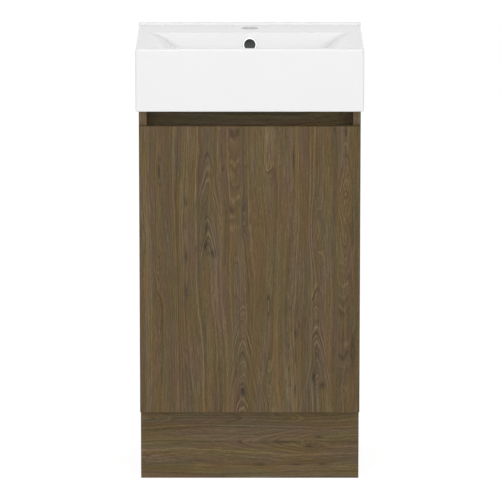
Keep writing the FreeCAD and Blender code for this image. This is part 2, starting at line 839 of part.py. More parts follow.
def link_bar(start, end, width, low, high, z):
    """Round-ended bar from one pin to another, each a (s, t) place."""
    along = Vector(end[0] - start[0], end[1] - start[1], 0)
    across = Vector(-along.y, along.x, 0).normalize() * width
    sides = [(start[0] + across.x, start[1] + across.y), (start[0] - across.x, start[1] - across.y),
             (end[0] - across.x, end[1] - across.y), (end[0] + across.x, end[1] + across.y)]
    bar = prism([(hinge_point(s, t, z + low), 0) for s, t in sides], Z * (high - low))
    ends = [pin_at(s, t, z + low, z + high, width) for s, t in (start, end)]
    return bar.fuse(ends).removeSplitter()


def hinge_inner_link(z):
    """Inner link, with a plain eye on the cup's pin and a slotted eye round the arm's pin."""
    cup_end = (inner_cup_pin_s, inner_cup_pin_t)
    arm_end = (inner_arm_pin_s, inner_arm_pin_t)
    half = inner_link_half
    bar = link_bar(cup_end, arm_end, inner_link_width, -half, half, z)
    eye = pin_at(*cup_end, z - half, z + half, inner_eye)
    slot_radius = hinge_pin_radius + open_slot_rise
    slot_run = open_slot_half - open_slot_rise
    ends = [(arm_end[0] + step, arm_end[1]) for step in (-slot_run, slot_run)]
    big_eye = link_bar(ends[0], ends[1], slot_radius + open_eye_wall, -half, half, z)
    slot = link_bar(ends[0], ends[1], slot_radius, -half, half, z)
    hole = pin_at(*cup_end, z - half, z + half, hinge_pin_radius + pin_clearance)
    return bar.fuse([eye, big_eye]).cut([slot, hole]).removeSplitter()


def hinge_outer_link(z):
    """Outer link: two cheeks beside the inner link, joined by a web near the arm."""
    cup_end = (outer_cup_pin_s, outer_cup_pin_t)
    arm_end = (outer_arm_pin_s, outer_arm_pin_t)
    cheeks = []
    for low, high in ((outer_link_low, outer_link_half), (-outer_link_half, -outer_link_low)):
        cheeks.append(link_bar(cup_end, arm_end, outer_link_width, low, high, z))
    along = Vector(cup_end[0] - arm_end[0], cup_end[1] - arm_end[1], 0).normalize()
    across = Vector(-along.y, along.x, 0)
    corners = []
    sides = ((link_web_start, 0), (link_web_end, 0), (link_web_end, link_web), (link_web_start, link_web))
    for run, rise in sides:
        place = Vector(arm_end[0], arm_end[1], 0) + along * run + across * (outer_link_width - rise)
        corners.append((hinge_point(place.x, place.y, z - outer_link_half), 0))
    web = prism(corners, Z * (2 * outer_link_half))
    holes = [pin_at(s, t, z - outer_link_half, z + outer_link_half, hinge_pin_radius + pin_clearance)
             for s, t in (cup_end, arm_end)]
    return cheeks[0].fuse([cheeks[1], web]).cut(holes).removeSplitter()


def arm_outline(inset):
    """Side outline of the arm; inset moves the web's side in, for the hollow between the cheeks."""
    tip_s = inner_arm_pin_s
    tip_t = inner_arm_pin_t + arm_tip_half
    base = arm_base_s
    top = base + arm_height - inset
    rear = -door_gap - arm_length
    bend = -door_gap - arm_fork
    return [
        (tip_s - arm_tip_half, tip_t, 0 if inset else arm_tip_radius),
        (tip_s + arm_tip_reach - inset, tip_t, 0 if inset else arm_tip_radius),
        (tip_s + arm_tip_reach - inset, bend, 0),
        (top, bend - arm_crank, 0),
        (top, rear, 0),
        (base, rear, 0),
        (base, bend - arm_crank, 0),
        (tip_s - arm_tip_half, bend, 0),
    ]


def hinge_arm(z):
    """Channel-shaped arm over the plate's ridge, forked at its tip for the two links."""
    body = prism(hinge_outline(arm_outline(0), z - arm_half), Z * (2 * arm_half))
    hollow = prism(hinge_outline(arm_outline(arm_web), z - arm_low), Z * (2 * arm_low))
    fork = box(door_left, door_left + inner_arm_pin_s + 2 * arm_tip_half,
               door_back - cup_hole_depth, carcass_front + arm_fork, z - arm_low, z + arm_low)
    screw = clamp_screw(z)
    return body.cut([hollow, fork, screw] + arm_pins(z)).removeSplitter()


def hinge_plate(z):
    """Mounting plate: a winged base on the side panel with a ridge that carries the arm."""
    corners = []
    for across, along in ((-1, -1), (1, -1), (1, 1), (-1, 1)):
        y = carcass_front + plate_line + across * plate_half_width
        corners.append((Vector(-side_inner, y, z + along * plate_half_length), plate_radius))
    base = prism(corners, X * plate_base)
    half = arm_low - ridge_clearance
    ridge_top = door_left + arm_base_s + arm_height - arm_web
    ridge = box(-side_inner, ridge_top, carcass_front + ridge_front, carcass_front + arm_length,
                z - half, z + half)
    long_edges = edges_where(ridge, lambda b: b.XMin > ridge_top - near and b.ZLength < near)
    ridge = ridge.makeFillet(edge_radius, long_edges)
    screws = [plate_screw(z + step) for step in (-plate_screw_half, plate_screw_half)]
    return base.fuse(ridge).cut(screws + [clamp_screw(z)]).removeSplitter()


def plate_screw(z):
    y = carcass_front + plate_line
    shank = rod(plate_screw_radius, plate_screw_length + plate_base,
                (-side_inner - plate_screw_length, y, z), X)
    head = rod(plate_screw_head_radius, plate_screw_head, (plate_base - side_inner, y, z), X)
    return shank.fuse(head).removeSplitter()


def clamp_screw(z):
    """Screw through the arm's web into the plate's ridge."""
    web_top = door_left + arm_base_s + arm_height
    y = carcass_front + clamp_screw_line
    shank = rod(clamp_screw_radius, clamp_screw_length, (web_top - clamp_screw_length, y, z), X)
    head = rod(clamp_screw_head_radius, clamp_screw_head, (web_top, y, z), X)
    return shank.fuse(head).removeSplitter()


def main():
    os.makedirs("parts", exist_ok=True)
    left_panel = left_side_panel()
    joints = fitting_places()
    save("basin", [basin()])
    save("overflow_ring", [overflow_ring()])
    save("waste_body", [waste_body()])
    save("waste_plug", [waste_plug()])
    save("waste_top_seal", [washer(waste_hole_radius, waste_flange_radius, waste_seal, seat_level)])
    save("waste_lower_seal", [washer(waste_thread_radius + thread_clearance, backnut_radius, lower_seal,
                                     backnut_top)])
    save("waste_backnut", [waste_backnut()])
    save("left_side_panel", [with_hinge_holes(left_panel)])
    save("right_side_panel", [mirrored(left_panel)])
    save("bottom_panel", [bottom_panel()])
    save("grip_rail", [grip_rail()])
    save("upper_back_rail", [upper_back_rail()])
    save("lower_back_rail", [lower_back_rail()])
    save("shelf", [shelf()])
    save("shelf_pins", both_sides([shelf_pin(y) for y in pin_lines]))
    save("cam_locks", both_sides([cam_lock(centre, opens) for centre, opens, _ in joints]))
    save("cam_bolts", both_sides([cam_bolt(centre) for centre, _, _ in joints]))
    save("dowels", both_sides([dowel(y, z, 0) for _, _, places in joints for y, z in places]))
    save("plinth_front", [plinth_front()])
    save("plinth_left", [plinth_left()])
    save("plinth_right", [mirrored(plinth_left())])
    save("plinth_back", [plinth_back()])
    save("plinth_corner_blocks", corner_blocks())
    save("plinth_screws", [plinth_screw(x, y) for x, y in plinth_screw_places()])
    save("door", [door()])
    save("door_bumpers", door_bumpers())
    for place, z in hinge_heights.items():
        save(place + "_hinge_cup", [hinge_cup(z)])
        save(place + "_hinge_arm", [hinge_arm(z)])
        save(place + "_hinge_plate", [hinge_plate(z)])
        save(place + "_hinge_inner_link", [hinge_inner_link(z)])
        save(place + "_hinge_outer_link", [hinge_outer_link(z)])
    heights = hinge_heights.values()
    save("hinge_cup_pins", [pin for z in heights for pin in cup_pins(z)])
    save("hinge_arm_pins", [pin for z in heights for pin in arm_pins(z)])
    save("hinge_cup_screws", [cup_screw(z + step) for z in heights
                              for step in (-cup_screw_half, cup_screw_half)])
    save("hinge_plate_screws", [plate_screw(z + step) for z in heights
                                for step in (-plate_screw_half, plate_screw_half)])
    save("hinge_clamp_screws", [clamp_screw(z) for z in heights])


main()
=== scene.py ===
import json
import math
import bmesh
import bpy
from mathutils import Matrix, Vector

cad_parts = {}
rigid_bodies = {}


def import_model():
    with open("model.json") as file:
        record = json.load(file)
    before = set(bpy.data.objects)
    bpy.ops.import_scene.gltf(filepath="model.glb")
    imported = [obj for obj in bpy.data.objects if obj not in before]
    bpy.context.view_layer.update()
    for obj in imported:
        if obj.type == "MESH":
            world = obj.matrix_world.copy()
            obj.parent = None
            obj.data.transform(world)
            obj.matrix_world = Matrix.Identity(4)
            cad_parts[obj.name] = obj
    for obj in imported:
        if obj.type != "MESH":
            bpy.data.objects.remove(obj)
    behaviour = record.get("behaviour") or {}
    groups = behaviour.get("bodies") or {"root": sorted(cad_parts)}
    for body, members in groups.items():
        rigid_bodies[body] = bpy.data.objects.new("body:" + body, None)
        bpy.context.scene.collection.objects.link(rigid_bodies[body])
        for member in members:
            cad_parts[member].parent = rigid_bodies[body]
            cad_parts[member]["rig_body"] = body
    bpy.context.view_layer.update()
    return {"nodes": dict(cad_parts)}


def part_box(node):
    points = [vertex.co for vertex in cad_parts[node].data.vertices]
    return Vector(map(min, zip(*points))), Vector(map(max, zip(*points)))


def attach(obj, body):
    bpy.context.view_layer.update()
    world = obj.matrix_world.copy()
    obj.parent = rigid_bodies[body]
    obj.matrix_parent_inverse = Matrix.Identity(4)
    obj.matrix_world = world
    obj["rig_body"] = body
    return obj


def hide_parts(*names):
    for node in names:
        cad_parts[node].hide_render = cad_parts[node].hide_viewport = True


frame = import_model()

# Plinth: four walnut-effect boards on the floor, set back under the cabinet, with their grain level.
# Melamine-faced chipboard sawn to size and edge-banded at the ends that show; the front board covers the
# side boards' ends, and the edges against floor, cabinet and wall are left raw.


def add(tree, kind, links=None, **settings):
    """A node with its settings; links gives each input a value or another node's output."""
    node = tree.nodes.new(kind)
    for name, value in settings.items():
        setattr(node, name, value)
    for socket, value in (links or {}).items():
        if isinstance(value, bpy.types.NodeSocket):
            tree.links.new(value, node.inputs[socket])
        else:
            node.inputs[socket].default_value = value
    return node


def calc(tree, operation, *values):
    """A Math node's result."""
    return add(tree, "ShaderNodeMath", dict(enumerate(values)), operation=operation).outputs[0]


def blend_colour(tree, share, under, over):
    """One colour over another."""
    node = add(tree, "ShaderNodeMix", {0: share, 6: under, 7: over}, data_type="RGBA")
    return node.outputs[2]


def ramp(tree, value, low, high):
    """A smooth step from 0 at low to 1 at high."""
    node = add(tree, "ShaderNodeMapRange", {"Value": value, "From Min": low, "From Max": high},
               interpolation_type="SMOOTHSTEP")
    return node.outputs[0]


def noise(tree, place, stretch, detail=2.0, roughness=0.5):
    """Noise with its own pitch across the grain and along it."""
    scaled = add(tree, "ShaderNodeVectorMath", {0: place, 1: stretch}, operation="MULTIPLY").outputs[0]
    return add(tree, "ShaderNodeTexNoise", {"Vector": scaled, "Scale": 1.0, "Detail": detail,
                                            "Roughness": roughness}).outputs[0]


def shader_group(name, values, outputs, kind="NodeSocketFloat"):
    """An empty node group that reads a vector and some values, as (tree, what it is given, what it gives)."""
    tree = bpy.data.node_groups.new(name, "ShaderNodeTree")
    tree.interface.new_socket("Vector", in_out="INPUT", socket_type="NodeSocketVector")
    for socket in values:
        tree.interface.new_socket(socket, in_out="INPUT", socket_type="NodeSocketFloat")
    for socket in outputs:
        tree.interface.new_socket(socket, in_out="OUTPUT", socket_type=kind)
    return tree, tree.nodes.new("NodeGroupInput").outputs, tree.nodes.new("NodeGroupOutput").inputs


def linear(red, green, blue):
    """A colour written as a screen shows it."""
    return [((c / 255 + 0.055) / 1.055) ** 2.4 if c > 10 else c / 255 / 12.92 for c in (red, green, blue)] + [1]


def make_growth_eye():
    """A swelling in the growth rings, round a dark heart: inside it the lines bend into nested arches."""
    tree, given, result = shader_group("growth_eye", ("Across", "Along", "Half width", "Above", "Below", "Rings"),
                                       ("Hill", "Swell", "Heart"))
    xyz = add(tree, "ShaderNodeSeparateXYZ", {0: given["Vector"]}).outputs
    aside = calc(tree, "SUBTRACT", xyz[0], given["Across"])
    across = calc(tree, "DIVIDE", aside, given["Half width"])
    offset = calc(tree, "SUBTRACT", xyz[2], given["Along"])
    above = calc(tree, "DIVIDE", calc(tree, "MAXIMUM", offset, 0.0), given["Above"])
    below = calc(tree, "DIVIDE", calc(tree, "MINIMUM", offset, 0.0), given["Below"])
    along = calc(tree, "ADD", above, below)
    pointed = calc(tree, "POWER", calc(tree, "ABSOLUTE", across), 1.4)
    reach = calc(tree, "MULTIPLY_ADD", along, along, pointed)
    edge_share, heart_share = 0.2, 0.0001
    hill = calc(tree, "POWER", edge_share, reach)
    tree.links.new(hill, result["Hill"])
    level = calc(tree, "MULTIPLY_ADD", aside, -rings_per_metre, given["Rings"])
    tree.links.new(calc(tree, "MULTIPLY", hill, level), result["Swell"])
    tree.links.new(calc(tree, "POWER", heart_share, calc(tree, "MULTIPLY", reach, 6.0)), result["Heart"])
    return tree


def make_walnut_figure():
    """Walnut grain along Z: lines that follow the growth rings, hairlines, and slow bands of hue."""
    tree, given, result = shader_group("walnut_figure", ("Swell",), ("Tone", "Lines", "Violet", "Olive", "Pores"))
    place = given["Vector"]
    slow = calc(tree, "MULTIPLY_ADD", noise(tree, place, (12, 12, 2.2), 1.0), 0.044, -0.022)
    quick = calc(tree, "MULTIPLY_ADD", noise(tree, place, (60, 60, 10), 2.0), 0.005, -0.0025)
    sway = calc(tree, "ADD", slow, quick)
    shift = add(tree, "ShaderNodeCombineXYZ", {0: sway, 1: sway}).outputs[0]
    swayed = add(tree, "ShaderNodeVectorMath", {0: place, 1: shift}, operation="ADD").outputs[0]
    xyz = add(tree, "ShaderNodeSeparateXYZ", {0: swayed}).outputs
    rings = calc(tree, "MULTIPLY_ADD", calc(tree, "MULTIPLY_ADD", xyz[1], 0.35, xyz[0]), rings_per_metre,
                 given["Swell"])
    lines = add(tree, "ShaderNodeTexNoise", {"W": rings, "Scale": 1.0, "Detail": 2.0, "Roughness": 0.6},
                noise_dimensions="1D").outputs[0]
    bands = noise(tree, swayed, (40, 40, 1.6), 2.0)
    hairs = noise(tree, swayed, (620, 620, 24), 2.0)
    pores = noise(tree, swayed, (800, 800, 150), 1.0)
    fine = calc(tree, "MULTIPLY_ADD", pores, 0.18, calc(tree, "MULTIPLY", hairs, 0.26))
    tone = calc(tree, "MULTIPLY_ADD", lines, 0.29, calc(tree, "MULTIPLY_ADD", bands, 0.26, fine))
    flecks = ramp(tree, noise(tree, swayed, (480, 480, 45), 1.0), 0.60, 0.72)
    flecked = ramp(tree, noise(tree, swayed, (45, 45, 3), 1.0), 0.50, 0.62)
    tone = calc(tree, "MULTIPLY_ADD", calc(tree, "MULTIPLY", flecks, flecked), -0.12, calc(tree, "ADD", tone, 0.007))
    tree.links.new(tone, result["Tone"])
    tree.links.new(lines, result["Lines"])
    tree.links.new(hairs, result["Pores"])
    tree.links.new(ramp(tree, noise(tree, swayed, (56, 56, 7), 1.0), 0.3, 0.7), result["Violet"])
    away = add(tree, "ShaderNodeVectorMath", {0: swayed, 1: (3.1, 1.7, 5.3)}, operation="ADD").outputs[0]
    tree.links.new(ramp(tree, noise(tree, away, (50, 50, 8), 1.0), 0.3, 0.7), result["Olive"])
    return tree


def make_bows():
    """Nested bows across the grain, in a column: Rise is how far their legs hang down, or stand up where it is
    negative. High ones are arches and low ones feathers."""
    tree, given, result = shader_group("bows", ("Across", "Half width", "Low", "High", "Pitch", "Rise"),
                                       ("Tone", "Mask"))
    xyz = add(tree, "ShaderNodeSeparateXYZ", {0: given["Vector"]}).outputs
    across = calc(tree, "DIVIDE", calc(tree, "SUBTRACT", xyz[0], given["Across"]), given["Half width"])
    tip = 0.4
    leg = calc(tree, "SUBTRACT", calc(tree, "SQRT", calc(tree, "MULTIPLY_ADD", across, across, tip * tip)), tip)
    height = calc(tree, "MULTIPLY_ADD", leg, given["Rise"], xyz[2])
    rough = calc(tree, "MULTIPLY", noise(tree, given["Vector"], (90, 90, 25), 2.0), 0.03)
    count = calc(tree, "DIVIDE", calc(tree, "ADD", height, rough), given["Pitch"])
    tone = add(tree, "ShaderNodeTexNoise", {"W": count, "Scale": 1.0, "Detail": 1.0},
               noise_dimensions="1D").outputs[0]
    tree.links.new(tone, result["Tone"])
    inside = calc(tree, "SUBTRACT", 1.0, ramp(tree, calc(tree, "ABSOLUTE", across), 0.7, 1.1))
    fade = 0.02
    low = calc(tree, "SUBTRACT", given["Low"], fade)
    high = calc(tree, "ADD", given["High"], fade)
    upper = calc(tree, "SUBTRACT", 1.0, ramp(tree, calc(tree, "MAXIMUM", height, xyz[2]), given["High"], high))
    lower = ramp(tree, calc(tree, "MINIMUM", height, xyz[2]), low, given["Low"])
    broken = ramp(tree, noise(tree, given["Vector"], (60, 60, 18), 1.0), 0.3, 0.6)
    ends = calc(tree, "MULTIPLY", upper, calc(tree, "MULTIPLY", lower, broken))
    tree.links.new(calc(tree, "MULTIPLY", inside, ends), result["Mask"])
    return tree


def make_chipboard():
    """Pressed wood chips, seen where a board has no banding."""
    tree, given, result = shader_group("chipboard", (), ("Color",), "NodeSocketColor")
    chips = add(tree, "ShaderNodeTexVoronoi", {"Vector": given[0], "Scale": 420.0})
    tint = add(tree, "ShaderNodeSeparateXYZ", {0: chips.outputs["Color"]}).outputs[0]
    colour = blend_colour(tree, tint, linear(128, 100, 68), linear(196, 168, 126))
    tree.links.new(colour, result[0])
    return tree


def plain_material(name):
    """A new material, as (material, its tree, its shader)."""
    material = bpy.data.materials.new(name)
    material.use_nodes = True
    tree = material.node_tree
    return material, tree, tree.nodes["Principled BSDF"]


rings_per_metre = 190.0
growth_eye = make_growth_eye()
walnut_figure = make_walnut_figure()
bows = make_bows()
chipboard = make_chipboard()

walnut_dark = linear(67, 54, 35)
walnut_brown = linear(91, 75, 50)
walnut_pale = linear(123, 104, 72)
walnut_heart = linear(48, 39, 28)
golden_tint = (1.0, 1.0, 0.84, 1)
violet_tint = (1.0, 1.0, 1.20, 1)
orange_tint = (1.05, 0.975, 0.96, 1)
olive_tint = (0.96, 1.025, 1.025, 1)


def walnut_board(name, turn=(0, 0, 0), move=(0, 0, 0), eyes=(), knots=(), columns=(), raw=(), painted_light_tint=(1, 1, 1),
                 edge_painted_light=(1, 1, 1)):
    """Walnut-effect board. turn brings the grain to Z, and in that frame lie
    eyes: (across, along, half width, above, below, rings, heart),
    knots: (across, along, half width, half length, depth), and
    columns of bows: (across, half width, low, high, pitch, rise, share).
    raw is the axis that the faced sides look along, and the limits inside which the other sides are bare. The last
    two
    are painted light: tints that lighten and pale the whole board and its banded edges, for boards that lie in
    shadow."""
    material, tree, shader = plain_material(name)
    place = add(tree, "ShaderNodeTexCoord").outputs["Object"]
    turned = add(tree, "ShaderNodeMapping", {"Vector": place, "Rotation": turn, "Location": move}).outputs[0]
    figure = add(tree, "ShaderNodeGroup", {"Vector": turned}, node_tree=walnut_figure)
    swell = fold = dark = 0.0
    for across, along, half_width, above, below, rings, heart in eyes:
        eye = add(tree, "ShaderNodeGroup", {"Vector": turned, "Across": across, "Along": along, "Rings": rings,
                                            "Half width": half_width, "Above": above, "Below": below},
                  node_tree=growth_eye).outputs
        swell = calc(tree, "ADD", eye["Swell"], swell)
        fold = calc(tree, "MAXIMUM", eye["Hill"], fold)
        dark = calc(tree, "MULTIPLY_ADD", eye["Heart"], heart, dark)
    for across, along, half_width, half_length, depth in knots:
        knot = add(tree, "ShaderNodeGroup", {"Vector": turned, "Across": across, "Along": along,
                                             "Half width": half_width, "Above": half_length, "Below": half_length},
                   node_tree=growth_eye).outputs
        dark = calc(tree, "MULTIPLY_ADD", knot["Hill"], depth, dark)
    value = figure.outputs["Tone"]
    if eyes:
        tree.links.new(swell, figure.inputs["Swell"])
        boldness = 0.42
        bold = calc(tree, "MULTIPLY", calc(tree, "SUBTRACT", figure.outputs["Lines"], 0.5), boldness)
        value = calc(tree, "MULTIPLY_ADD", bold, fold, value)
    for across, half_width, low, high, pitch, rise, share in columns:
        column = add(tree, "ShaderNodeGroup", {"Vector": turned, "Across": across, "Half width": half_width,
                                               "Low": low, "High": high, "Pitch": pitch, "Rise": rise},
                     node_tree=bows).outputs
        value = add(tree, "ShaderNodeMix", {0: calc(tree, "MULTIPLY", column["Mask"], share), 2: value,
                                            3: column["Tone"]}).outputs[0]
    tones = add(tree, "ShaderNodeValToRGB", {0: value})
    dark_tone, brown_tone, pale_tone = 0.34, 0.5, 0.68
    steps = tones.color_ramp.elements
    steps[0].position, steps[0].color = dark_tone, walnut_dark
    steps[1].position, steps[1].color = pale_tone, walnut_pale
    steps.new(brown_tone).color = walnut_brown
    tint = blend_colour(tree, figure.outputs["Violet"], golden_tint, violet_tint)
    warmth = blend_colour(tree, figure.outputs["Olive"], orange_tint, olive_tint)
    tint = add(tree, "ShaderNodeVectorMath", {0: tint, 1: warmth}, operation="MULTIPLY").outputs[0]
    colour = add(tree, "ShaderNodeVectorMath", {0: tones.outputs[0], 1: tint}, operation="MULTIPLY").outputs[0]
    if eyes or knots:
        dark = calc(tree, "MULTIPLY", dark, ramp(tree, value, 0.74, 0.44))
        colour = blend_colour(tree, dark, colour, walnut_heart)
    # Painted light: a tint that lightens the whole board where it stands in shadow.
    colour = add(tree, "ShaderNodeVectorMath", {0: colour, 1: painted_light_tint}, operation="MULTIPLY").outputs[0]
    if raw:
        axis, banded = raw
        facing = add(tree, "ShaderNodeSeparateXYZ",
                     {0: add(tree, "ShaderNodeNewGeometry").outputs["True Normal"]}).outputs
        where = add(tree, "ShaderNodeSeparateXYZ", {0: place}).outputs
        bare = calc(tree, "LESS_THAN", calc(tree, "ABSOLUTE", facing["XYZ".index(axis)]), 0.5)
        # Painted light on the banded edges: a tint that makes them lighter, paler and bluer, for reflected white
        # light.
        edge = add(tree, "ShaderNodeVectorMath", {0: colour, 1: edge_painted_light}, operation="MULTIPLY").outputs[0]
        colour = blend_colour(tree, bare, colour, edge)
        for edge_axis, side, limit in banded:
            bare = calc(tree, "MULTIPLY", bare, calc(tree, side, where["XYZ".index(edge_axis)], limit))
        chips = add(tree, "ShaderNodeGroup", node_tree=chipboard)
        tree.links.new(place, chips.inputs[0])
        colour = blend_colour(tree, bare, colour, chips.outputs[0])
    tree.links.new(colour, shader.inputs["Base Color"])
    shader.inputs["Specular IOR Level"].default_value = 0.25
    pores = figure.outputs["Pores"]
    tree.links.new(calc(tree, "MULTIPLY_ADD", pores, 0.14, 0.42), shader.inputs["Roughness"])
    bump = add(tree, "ShaderNodeBump", {"Strength": 0.08, "Distance": 0.0004, "Height": pores})
    tree.links.new(bump.outputs[0], shader.inputs["Normal"])
    return material


def finish_node(name, material):
    """Give a node of the frame its finish."""
    frame["nodes"][name].data.materials[0] = material


quarter = math.pi / 2
level_grain = (0, -quarter, 0)
plinth_eyes = ((-0.070, 0.136, 0.008, 0.02, 0.03, 3.0, 0.6),)
plinth_knots = ((-0.076, 0.075, 0.003, 0.030, 0.7), (-0.087, 0.140, 0.004, 0.010, 0.9),
                (-0.067, 0.122, 0.005, 0.010, 0.9), (-0.029, 0.020, 0.003, 0.012, 0.8),
                (-0.028, 0.095, 0.003, 0.014, 0.8), (-0.029, 0.150, 0.003, 0.012, 0.8))
plinth_columns = ((-0.077, 0.028, -0.085, 0.125, 0.0125, -0.190, 0.56),
                  (-0.126, 0.012, -0.200, 0.160, 0.016, 0.040, 0.35))
plinth_end = 0.2225
plinth_banding = [("X", "GREATER_THAN", -plinth_end), ("X", "LESS_THAN", plinth_end)]
# Painted light: the front board is lightened and made a little greener to make up for the shadow under the door.
finish_node("plinth_front", walnut_board("walnut_plinth_front", level_grain, eyes=plinth_eyes, knots=plinth_knots,
                                         columns=plinth_columns, painted_light_tint=(1.08, 1.11, 1.10),
                                         raw=("Y", plinth_banding)))
plinth_side = walnut_board("walnut_plinth_side", (quarter, 0, 0), (0.3, 0.2, 0.7), raw=("X", []))
for name in ("plinth_left", "plinth_right"):
    finish_node(name, plinth_side)
finish_node("plinth_back", walnut_board("walnut_plinth_back", level_grain, (0.9, 0.4, 0.2), raw=("Y", [])))

# Plinth corner blocks: triangular lengths of beech in the plinth's four corners, up under the cabinet.
# Sawn and planed along the grain and glued to the boards; a long countersunk screw comes down into each
# through the cabinet's floor.


def make_beech(name, stretch):
    """Pale close-grained wood; stretch is short along the grain."""
    material, tree, shader = plain_material(name)
    place = add(tree, "ShaderNodeTexCoord").outputs["Object"]
    grain = noise(tree, place, stretch, 3.0)
    tree.links.new(blend_colour(tree, grain, linear(184, 144, 100), linear(216, 182, 138)),
                   shader.inputs["Base Color"])
    tree.links.new(calc(tree, "MULTIPLY_ADD", grain, 0.2, 0.5), shader.inputs["Roughness"])
    return material


def speckled(name, low, high, roughness, grain=300.0, metallic=0.0):
    """A plain finish with a fine speckle in its colour and gloss."""
    material, tree, shader = plain_material(name)
    place = add(tree, "ShaderNodeTexCoord").outputs["Object"]
    speck = noise(tree, place, (grain, grain, grain), 2.0)
    tree.links.new(blend_colour(tree, speck, low, high), shader.inputs["Base Color"])
    tree.links.new(calc(tree, "MULTIPLY_ADD", speck, 0.2, roughness - 0.1), shader.inputs["Roughness"])
    shader.inputs["Metallic"].default_value = metallic
    return material


def node_points(name, places):
    """An object with a bare vertex at each place, for a geometry tree to work on."""
    mesh = bpy.data.meshes.new(name)
    mesh.from_pydata(places, [], [])
    piece = bpy.data.objects.new(name, mesh)
    bpy.context.scene.collection.objects.link(piece)
    return piece


def grow(piece, tree, **inputs):
    """Run a geometry tree on a piece once, and keep the plain mesh."""
    modifier = piece.modifiers.new(tree.name, "NODES")
    modifier.node_group = tree
    for item in tree.interface.items_tree:
        key = item.name.lower().replace(" ", "_")
        if item.item_type == "SOCKET" and item.in_out == "INPUT" and key in inputs:
            modifier[item.identifier] = inputs[key]
    ready = piece.evaluated_get(bpy.context.evaluated_depsgraph_get())
    mesh = bpy.data.meshes.new_from_object(ready)
    piece.modifiers.clear()
    piece.data = mesh


def settle(piece, node, tree, **inputs):
    """Grow a piece from its tree, and let it stand for its node."""
    grow(piece, tree, **inputs)
    stand_in(piece, node)


def stand_in(piece, node):
    """Let a piece stand for a node, on the node's body, and hide the node."""
    source = frame["nodes"][node]
    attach(piece, source["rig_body"])
    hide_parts(node)


def geometry_tree(name, sizes):
    """A geometry tree that works on points, as (tree, what it is given)."""
    tree = bpy.data.node_groups.new(name, "GeometryNodeTree")
    tree.interface.new_socket("Geometry", in_out="OUTPUT", socket_type="NodeSocketGeometry")
    kinds = [("Geometry", "NodeSocketGeometry"), *((size, "NodeSocketFloat") for size in sizes),
             ("Turn", "NodeSocketRotation"), ("Finish", "NodeSocketMaterial")]
    for socket, kind in kinds:
        tree.interface.new_socket(socket, in_out="INPUT", socket_type=kind)
    return tree, tree.nodes.new("NodeGroupInput").outputs


def put_on_points(tree, given, shape):
    """End a geometry tree: the shape stands at every point, turned and with its finish."""
    spread = add(tree, "GeometryNodeInstanceOnPoints", {"Points": given["Geometry"], "Instance": shape,
                                                        "Rotation": given["Turn"]}).outputs[0]
    real = add(tree, "GeometryNodeRealizeInstances", {0: spread}).outputs[0]
    done = add(tree, "GeometryNodeSetMaterial", {"Geometry": real, "Material": given["Finish"]}).outputs[0]
    tree.links.new(done, tree.nodes.new("NodeGroupOutput").inputs[0])
    return tree


def make_screws():
    """Screws at points: a head with a cross recess, and a threaded shank that ends in a point."""
    tree, given = geometry_tree("screws", ("Head top", "Head base", "Head height", "Shank", "Length", "Pitch"))

    def part(kind, links, height):
        made = add(tree, kind, links).outputs[0]
        up = add(tree, "ShaderNodeCombineXYZ", {2: height}).outputs[0]
        return add(tree, "GeometryNodeTransform", {"Geometry": made, "Translation": up}).outputs[0]

    top, base, tall = given["Head top"], given["Head base"], given["Head height"]
    shank, long = given["Shank"], given["Length"]
    head = part("GeometryNodeMeshCone", {"Vertices": 40, "Radius Top": top, "Radius Bottom": base, "Depth": tall},
                calc(tree, "MULTIPLY", tall, -1.0))
    bars = []
    for turned in (False, True):
        reach, thin = calc(tree, "MULTIPLY", top, 1.25), calc(tree, "MULTIPLY", top, 0.26)
        sides = (thin, reach) if turned else (reach, thin)
        size = add(tree, "ShaderNodeCombineXYZ", {0: sides[0], 1: sides[1], 2: calc(tree, "MULTIPLY", tall, 1.3)})
        bars.append(add(tree, "GeometryNodeMeshCube", {"Size": size.outputs[0]}).outputs[0])
    recess = add(tree, "GeometryNodeMeshBoolean", {0: head}, operation="DIFFERENCE")
    for bar in bars:
        tree.links.new(bar, recess.inputs[1])
    point = calc(tree, "MULTIPLY", shank, 1.6)
    foot = calc(tree, "MULTIPLY", calc(tree, "ADD", tall, long), -1.0)
    core = calc(tree, "MULTIPLY", shank, 0.76)
    straight = calc(tree, "SUBTRACT", long, point)
    rod = part("GeometryNodeMeshCylinder", {"Vertices": 24, "Radius": core, "Depth": straight},
               calc(tree, "MULTIPLY_ADD", straight, -0.5, calc(tree, "MULTIPLY", tall, -1.0)))
    tip = part("GeometryNodeMeshCone", {"Vertices": 24, "Radius Top": core, "Radius Bottom": 0.0001,
                                        "Depth": point}, foot)
    wound = calc(tree, "SUBTRACT", straight, given["Pitch"])
    coil = part("GeometryNodeCurveSpiral", {
        "Resolution": 24, "Rotations": calc(tree, "DIVIDE", wound, given["Pitch"]), "Height": wound,
        "Start Radius": calc(tree, "MULTIPLY", shank, 0.8), "End Radius": calc(tree, "MULTIPLY", shank, 0.8)},
        calc(tree, "ADD", foot, point))
    ridge = add(tree, "GeometryNodeCurvePrimitiveCircle", {"Resolution": 4,
                                                           "Radius": calc(tree, "MULTIPLY", shank, 0.19)}).outputs[0]
    thread = add(tree, "GeometryNodeCurveToMesh", {"Curve": coil, "Profile Curve": ridge}).outputs[0]
    whole = add(tree, "GeometryNodeJoinGeometry")
    for made in (recess.outputs[0], rod, tip, thread):
        tree.links.new(made, whole.inputs[0])
    flat = add(tree, "GeometryNodeSetShadeSmooth", {"Geometry": whole.outputs[0], "Shade Smooth": False}).outputs[0]
    return put_on_points(tree, given, flat)


finish_node("plinth_corner_blocks", make_beech("beech_blocks", (260, 260, 14)))
screws = make_screws()
zinc = speckled("bright_zinc", linear(176, 180, 184), linear(206, 209, 212), 0.32, 500.0, 1.0)
floor_top = 0.161
plinth_screws = node_points("plinth_screws_made", [(x, y, floor_top) for x in (-0.194, 0.194)
                                                   for y in (-0.0905, 0.136)])
settle(plinth_screws, "plinth_screws", screws, head_top=0.004, head_base=0.002, head_height=0.003, shank=0.002,
       length=0.047, pitch=0.0018, finish=zinc)

